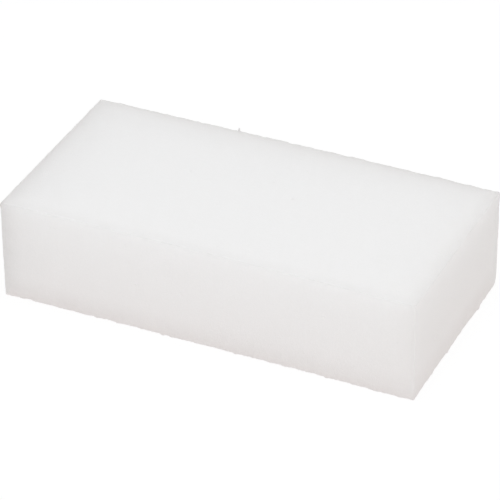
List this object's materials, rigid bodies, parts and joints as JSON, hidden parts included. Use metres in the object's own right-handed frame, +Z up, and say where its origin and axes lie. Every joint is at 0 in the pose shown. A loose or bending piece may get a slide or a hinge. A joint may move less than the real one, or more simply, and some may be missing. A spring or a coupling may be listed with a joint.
{
  "type": "cleaning sponge",
  "caption": "Plain white rectangular foam block with flat cut faces and slightly eased edges, used damp to rub marks off hard surfaces.",
  "frame": {"origin": "centre of the bottom face, on the surface that the block lies on", "axes": "+X along the length, +Y across the width towards the back, +Z up through the thickness"},
  "size_m": [0.12, 0.06, 0.03],
  "materials": {
    "foam": "fine open-cell melamine foam, dry and matte, sliced and cut with a blade"
  },
  "bodies": {
    "root": {"foam_block": "foam"}
  },
  "joints": []
}
